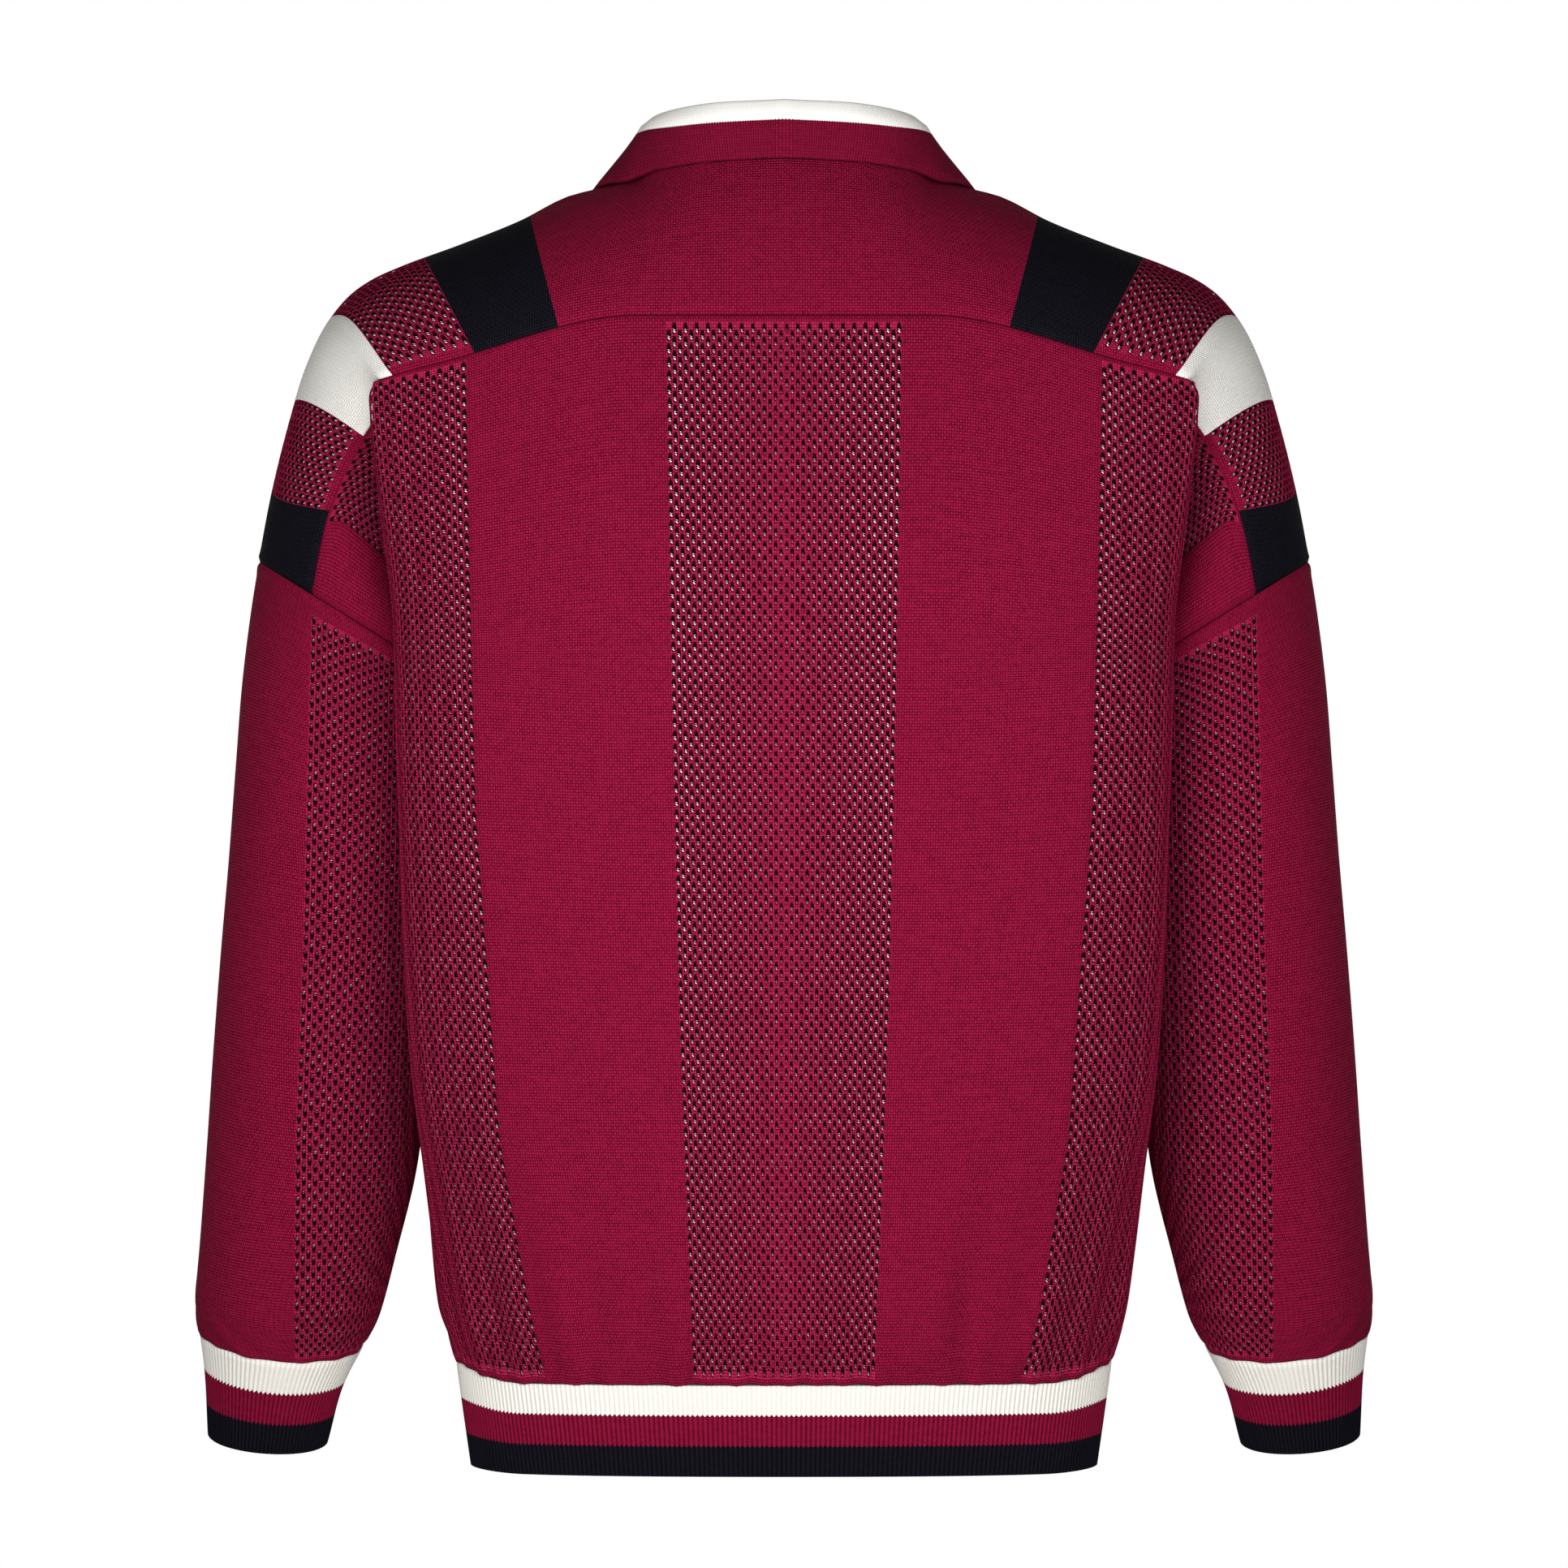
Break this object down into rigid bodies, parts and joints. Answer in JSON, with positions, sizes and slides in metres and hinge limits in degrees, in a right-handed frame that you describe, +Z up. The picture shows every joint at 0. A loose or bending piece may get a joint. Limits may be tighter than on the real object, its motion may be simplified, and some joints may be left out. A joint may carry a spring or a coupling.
{
  "type": "sweatshirt",
  "caption": "Fine-knit pullover in its worn, hollow form with arms hanging: saddle shoulders, fold-down collar, rib hem and cuffs, eyelet-mesh bands down the back and sleeves.",
  "frame": {"origin": "midway between the two side-neck points, where the garment hangs on the wearer's shoulders", "axes": "+Z up; the wearer faces +Y, so the back panel faces -Y; +X is the wearer's right"},
  "size_m": [0.631, 0.2564, 0.7284],
  "materials": {
    "back": "fine burgundy knit with three bands of eyelet mesh",
    "front": "fine plain burgundy knit",
    "yoke": "fine knit in blocks: burgundy, black, burgundy mesh and cream",
    "sleeve_left": "fine burgundy knit with a band of eyelet mesh",
    "sleeve_right": "fine burgundy knit with a band of eyelet mesh",
    "cuff_left": "rib knit in cream, burgundy and black stripes",
    "cuff_right": "rib knit in cream, burgundy and black stripes",
    "hem_rib": "rib knit in cream, burgundy and black stripes",
    "collar": "fine rib knit, burgundy leaf with a cream fold and stand"
  },
  "bodies": {
    "root": {"back": "back", "front": "front", "yoke": "yoke", "sleeve_left": "sleeve_left", "sleeve_right": "sleeve_right", "cuff_left": "cuff_left", "cuff_right": "cuff_right", "hem_rib": "hem_rib", "collar": "collar"}
  },
  "joints": []
}
